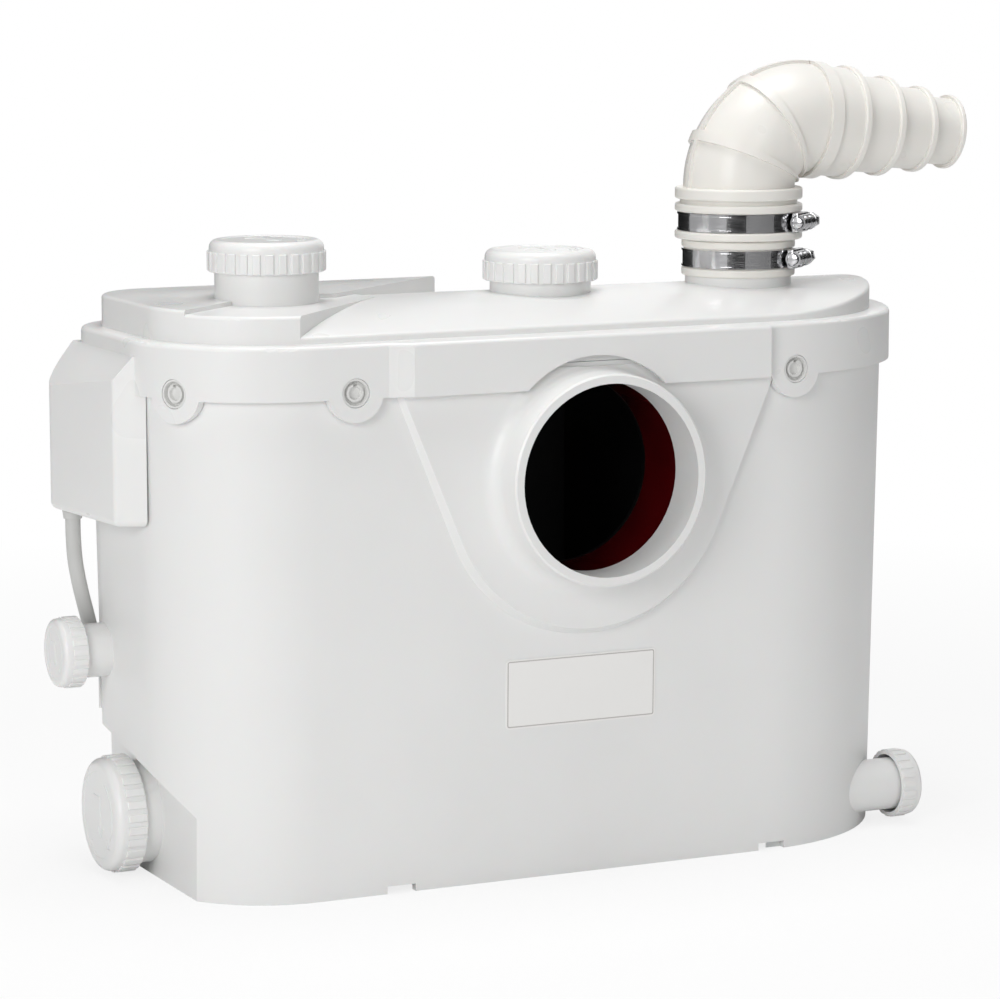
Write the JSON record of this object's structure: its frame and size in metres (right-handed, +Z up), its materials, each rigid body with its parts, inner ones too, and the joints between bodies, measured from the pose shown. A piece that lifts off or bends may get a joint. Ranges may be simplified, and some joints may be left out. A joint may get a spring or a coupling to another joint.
{
  "type": "macerator toilet pump",
  "caption": "Flat white macerator tank with a round inlet, ribbed screw caps on side and top ports, a clamped stepped discharge elbow and a mains lead.",
  "frame": {"origin": "middle of the tank's underside, on the face that rests on the floor", "axes": "+X along the tank to the discharge nozzle's side, +Y from the inlet's side to the back, +Z up"},
  "size_m": [0.517, 0.318, 0.4191],
  "materials": {
    "tank_white": "semi-gloss",
    "lid_white": "semi-gloss",
    "cap_white": "semi-gloss",
    "clip_white": "satin",
    "lining_red": "gloss",
    "chute_black": "matte",
    "basket_grey": "matte",
    "pump_black": "matte",
    "pipe_grey": "matte",
    "motor_paint": "satin",
    "bearing_steel": "ground",
    "core_iron": "stamped",
    "winding_copper": "enamelled",
    "blade_steel": "brushed",
    "clamp_steel": "polished",
    "seal_rubber": "matte",
    "hose_cream": "satin",
    "capacitor_grey": "satin",
    "terminal_cream": "matte",
    "cord_grey": "satin",
    "plug_grey": "semi-gloss",
    "pin_brass": "polished",
    "label_white": "satin"
  },
  "bodies": {
    "tank_unit": {"tank": "tank_white", "lid": "lid_white", "lid_gasket": "seal_rubber", "lid_clips": "clip_white", "inlet_lining": "lining_red", "inlet_chute": "chute_black", "basket": "basket_grey", "pump_volute": "pump_black", "volute_cover": "pump_black", "motor_can": "motor_paint", "motor_cover": "motor_paint", "lower_bearing": "bearing_steel", "upper_bearing": "bearing_steel", "shaft_seal": "seal_rubber", "stator": "core_iron", "windings": "winding_copper", "capacitor": "capacitor_grey", "discharge_pipe": "pipe_grey", "check_valve_body": "basket_grey", "outlet_sleeve": "hose_cream", "pressure_chamber": "basket_grey", "diaphragm": "seal_rubber", "pressure_switch": "terminal_cream", "terminal_block": "terminal_cream", "strain_relief": "cord_grey", "mains_lead": "cord_grey", "cord_coil": "cord_grey", "cord_tie": "seal_rubber", "mains_plug": "plug_grey", "plug_pins": "pin_brass", "front_label": "label_white", "lower_clamp_band": "clamp_steel", "lower_clamp_housing": "clamp_steel"},
    "rotor_group": {"rotor": "core_iron", "shaft": "blade_steel", "cutter_blade": "blade_steel", "impeller": "pump_black", "impeller_nut": "blade_steel"},
    "valve_flap": {"check_valve_flap": "seal_rubber"},
    "elbow": {"discharge_elbow": "hose_cream", "upper_clamp_band": "clamp_steel", "upper_clamp_housing": "clamp_steel"},
    "lower_screw": {"lower_clamp_screw": "clamp_steel"},
    "upper_screw": {"upper_clamp_screw": "clamp_steel"},
    "plunger": {"switch_plunger": "cap_white"},
    "top_left_washer": {"top_left_cap_seal": "seal_rubber"},
    "top_left_screw_cap": {"top_left_cap": "cap_white"},
    "top_middle_washer": {"top_middle_cap_seal": "seal_rubber"},
    "top_middle_screw_cap": {"top_middle_cap": "cap_white"},
    "left_large_washer": {"left_large_cap_seal": "seal_rubber"},
    "left_large_screw_cap": {"left_large_cap": "cap_white"},
    "left_small_washer": {"left_small_cap_seal": "seal_rubber"},
    "left_small_screw_cap": {"left_small_cap": "cap_white"},
    "right_small_washer": {"right_small_cap_seal": "seal_rubber"},
    "right_small_screw_cap": {"right_small_cap": "cap_white"},
    "left_large_check_flap": {"left_large_flap": "seal_rubber"},
    "left_small_check_flap": {"left_small_flap": "seal_rubber"},
    "right_small_check_flap": {"right_small_flap": "seal_rubber"}
  },
  "joints": [
    {"name": "rotor_spin", "type": "hinge", "parent": "tank_unit", "child": "rotor_group", "pos_m": [-0.125, 0.008, 0.1], "axis": [0, 0, 1], "continuous": true},
    {"name": "top_left_cap_draw", "type": "slide", "parent": "tank_unit", "child": "top_left_washer", "axis": [0, 0, 1], "range_m": [0, 0.0091]},
    {"name": "top_left_cap_turn", "type": "hinge", "parent": "top_left_washer", "child": "top_left_screw_cap", "pos_m": [-0.144, 0, 0.3153], "axis": [0, 0, 1], "range_deg": [0, 810]},
    {"name": "top_middle_cap_draw", "type": "slide", "parent": "tank_unit", "child": "top_middle_washer", "axis": [0, 0, 1], "range_m": [0, 0.0091]},
    {"name": "top_middle_cap_turn", "type": "hinge", "parent": "top_middle_washer", "child": "top_middle_screw_cap", "pos_m": [0.0135, 0, 0.3048], "axis": [0, 0, 1], "range_deg": [0, 810]},
    {"name": "left_large_cap_draw", "type": "slide", "parent": "tank_unit", "child": "left_large_washer", "axis": [-1, 0, 0], "range_m": [0, 0.0091]},
    {"name": "left_large_cap_turn", "type": "hinge", "parent": "left_large_washer", "child": "left_large_screw_cap", "pos_m": [-0.2158, 0.022, 0.0322], "axis": [-1, 0, 0], "range_deg": [0, 810]},
    {"name": "left_small_cap_draw", "type": "slide", "parent": "tank_unit", "child": "left_small_washer", "axis": [-1, 0, 0], "range_m": [0, 0.0091]},
    {"name": "left_small_cap_turn", "type": "hinge", "parent": "left_small_washer", "child": "left_small_screw_cap", "pos_m": [-0.2346, 0.044, 0.1155], "axis": [-1, 0, 0], "range_deg": [0, 810]},
    {"name": "right_small_cap_draw", "type": "slide", "parent": "tank_unit", "child": "right_small_washer", "axis": [1, 0, 0], "range_m": [0, 0.0091]},
    {"name": "right_small_cap_turn", "type": "hinge", "parent": "right_small_washer", "child": "right_small_screw_cap", "pos_m": [0.2045, -0.048, 0.021], "axis": [1, 0, 0], "range_deg": [0, 810]},
    {"name": "left_large_flap_swing", "type": "hinge", "parent": "tank_unit", "child": "left_large_check_flap", "pos_m": [-0.1982, 0.022, 0.0632], "axis": [0, -1, 0], "range_deg": [0, 20], "stiffness_Nm_per_rad": 0.002, "springref_deg": -17.19},
    {"name": "left_small_flap_swing", "type": "hinge", "parent": "tank_unit", "child": "left_small_check_flap", "pos_m": [-0.20692, 0.044, 0.1337], "axis": [0, -1, 0], "range_deg": [0, 60], "stiffness_Nm_per_rad": 0.002, "springref_deg": -17.19},
    {"name": "right_small_flap_swing", "type": "hinge", "parent": "tank_unit", "child": "right_small_check_flap", "pos_m": [0.15518, -0.048, 0.0392], "axis": [0, 1, 0], "range_deg": [0, 30], "stiffness_Nm_per_rad": 0.002, "springref_deg": -17.19},
    {"name": "valve_flap_swing", "type": "hinge", "parent": "tank_unit", "child": "valve_flap", "pos_m": [0.1153, 0, 0.3237], "axis": [0, -1, 0], "range_deg": [0, 55]},
    {"name": "elbow_swivel", "type": "hinge", "parent": "tank_unit", "child": "elbow", "pos_m": [0.1343, 0, 0.3231], "axis": [0, 0, 1], "continuous": true},
    {"name": "lower_screw_turn", "type": "hinge", "parent": "tank_unit", "child": "lower_screw", "pos_m": [0.15683, -0.02685, 0.3129], "axis": [0.766, 0.6428, 0], "continuous": true},
    {"name": "upper_screw_turn", "type": "hinge", "parent": "elbow", "child": "upper_screw", "pos_m": [0.15844, -0.02876, 0.3327], "axis": [0.766, 0.6428, 0], "continuous": true},
    {"name": "plunger_lift", "type": "slide", "parent": "tank_unit", "child": "plunger", "axis": [0, 0, 1], "range_m": [0, 0.0025], "stiffness_N_per_m": 100}
  ],
  "couplings": [
    {"joint": "top_left_cap_draw", "follows": "top_left_cap_turn", "m_per_rad": 0.00063662},
    {"joint": "top_middle_cap_draw", "follows": "top_middle_cap_turn", "m_per_rad": 0.00063662},
    {"joint": "left_large_cap_draw", "follows": "left_large_cap_turn", "m_per_rad": 0.00063662},
    {"joint": "left_small_cap_draw", "follows": "left_small_cap_turn", "m_per_rad": 0.00063662},
    {"joint": "right_small_cap_draw", "follows": "right_small_cap_turn", "m_per_rad": 0.00063662}
  ]
}
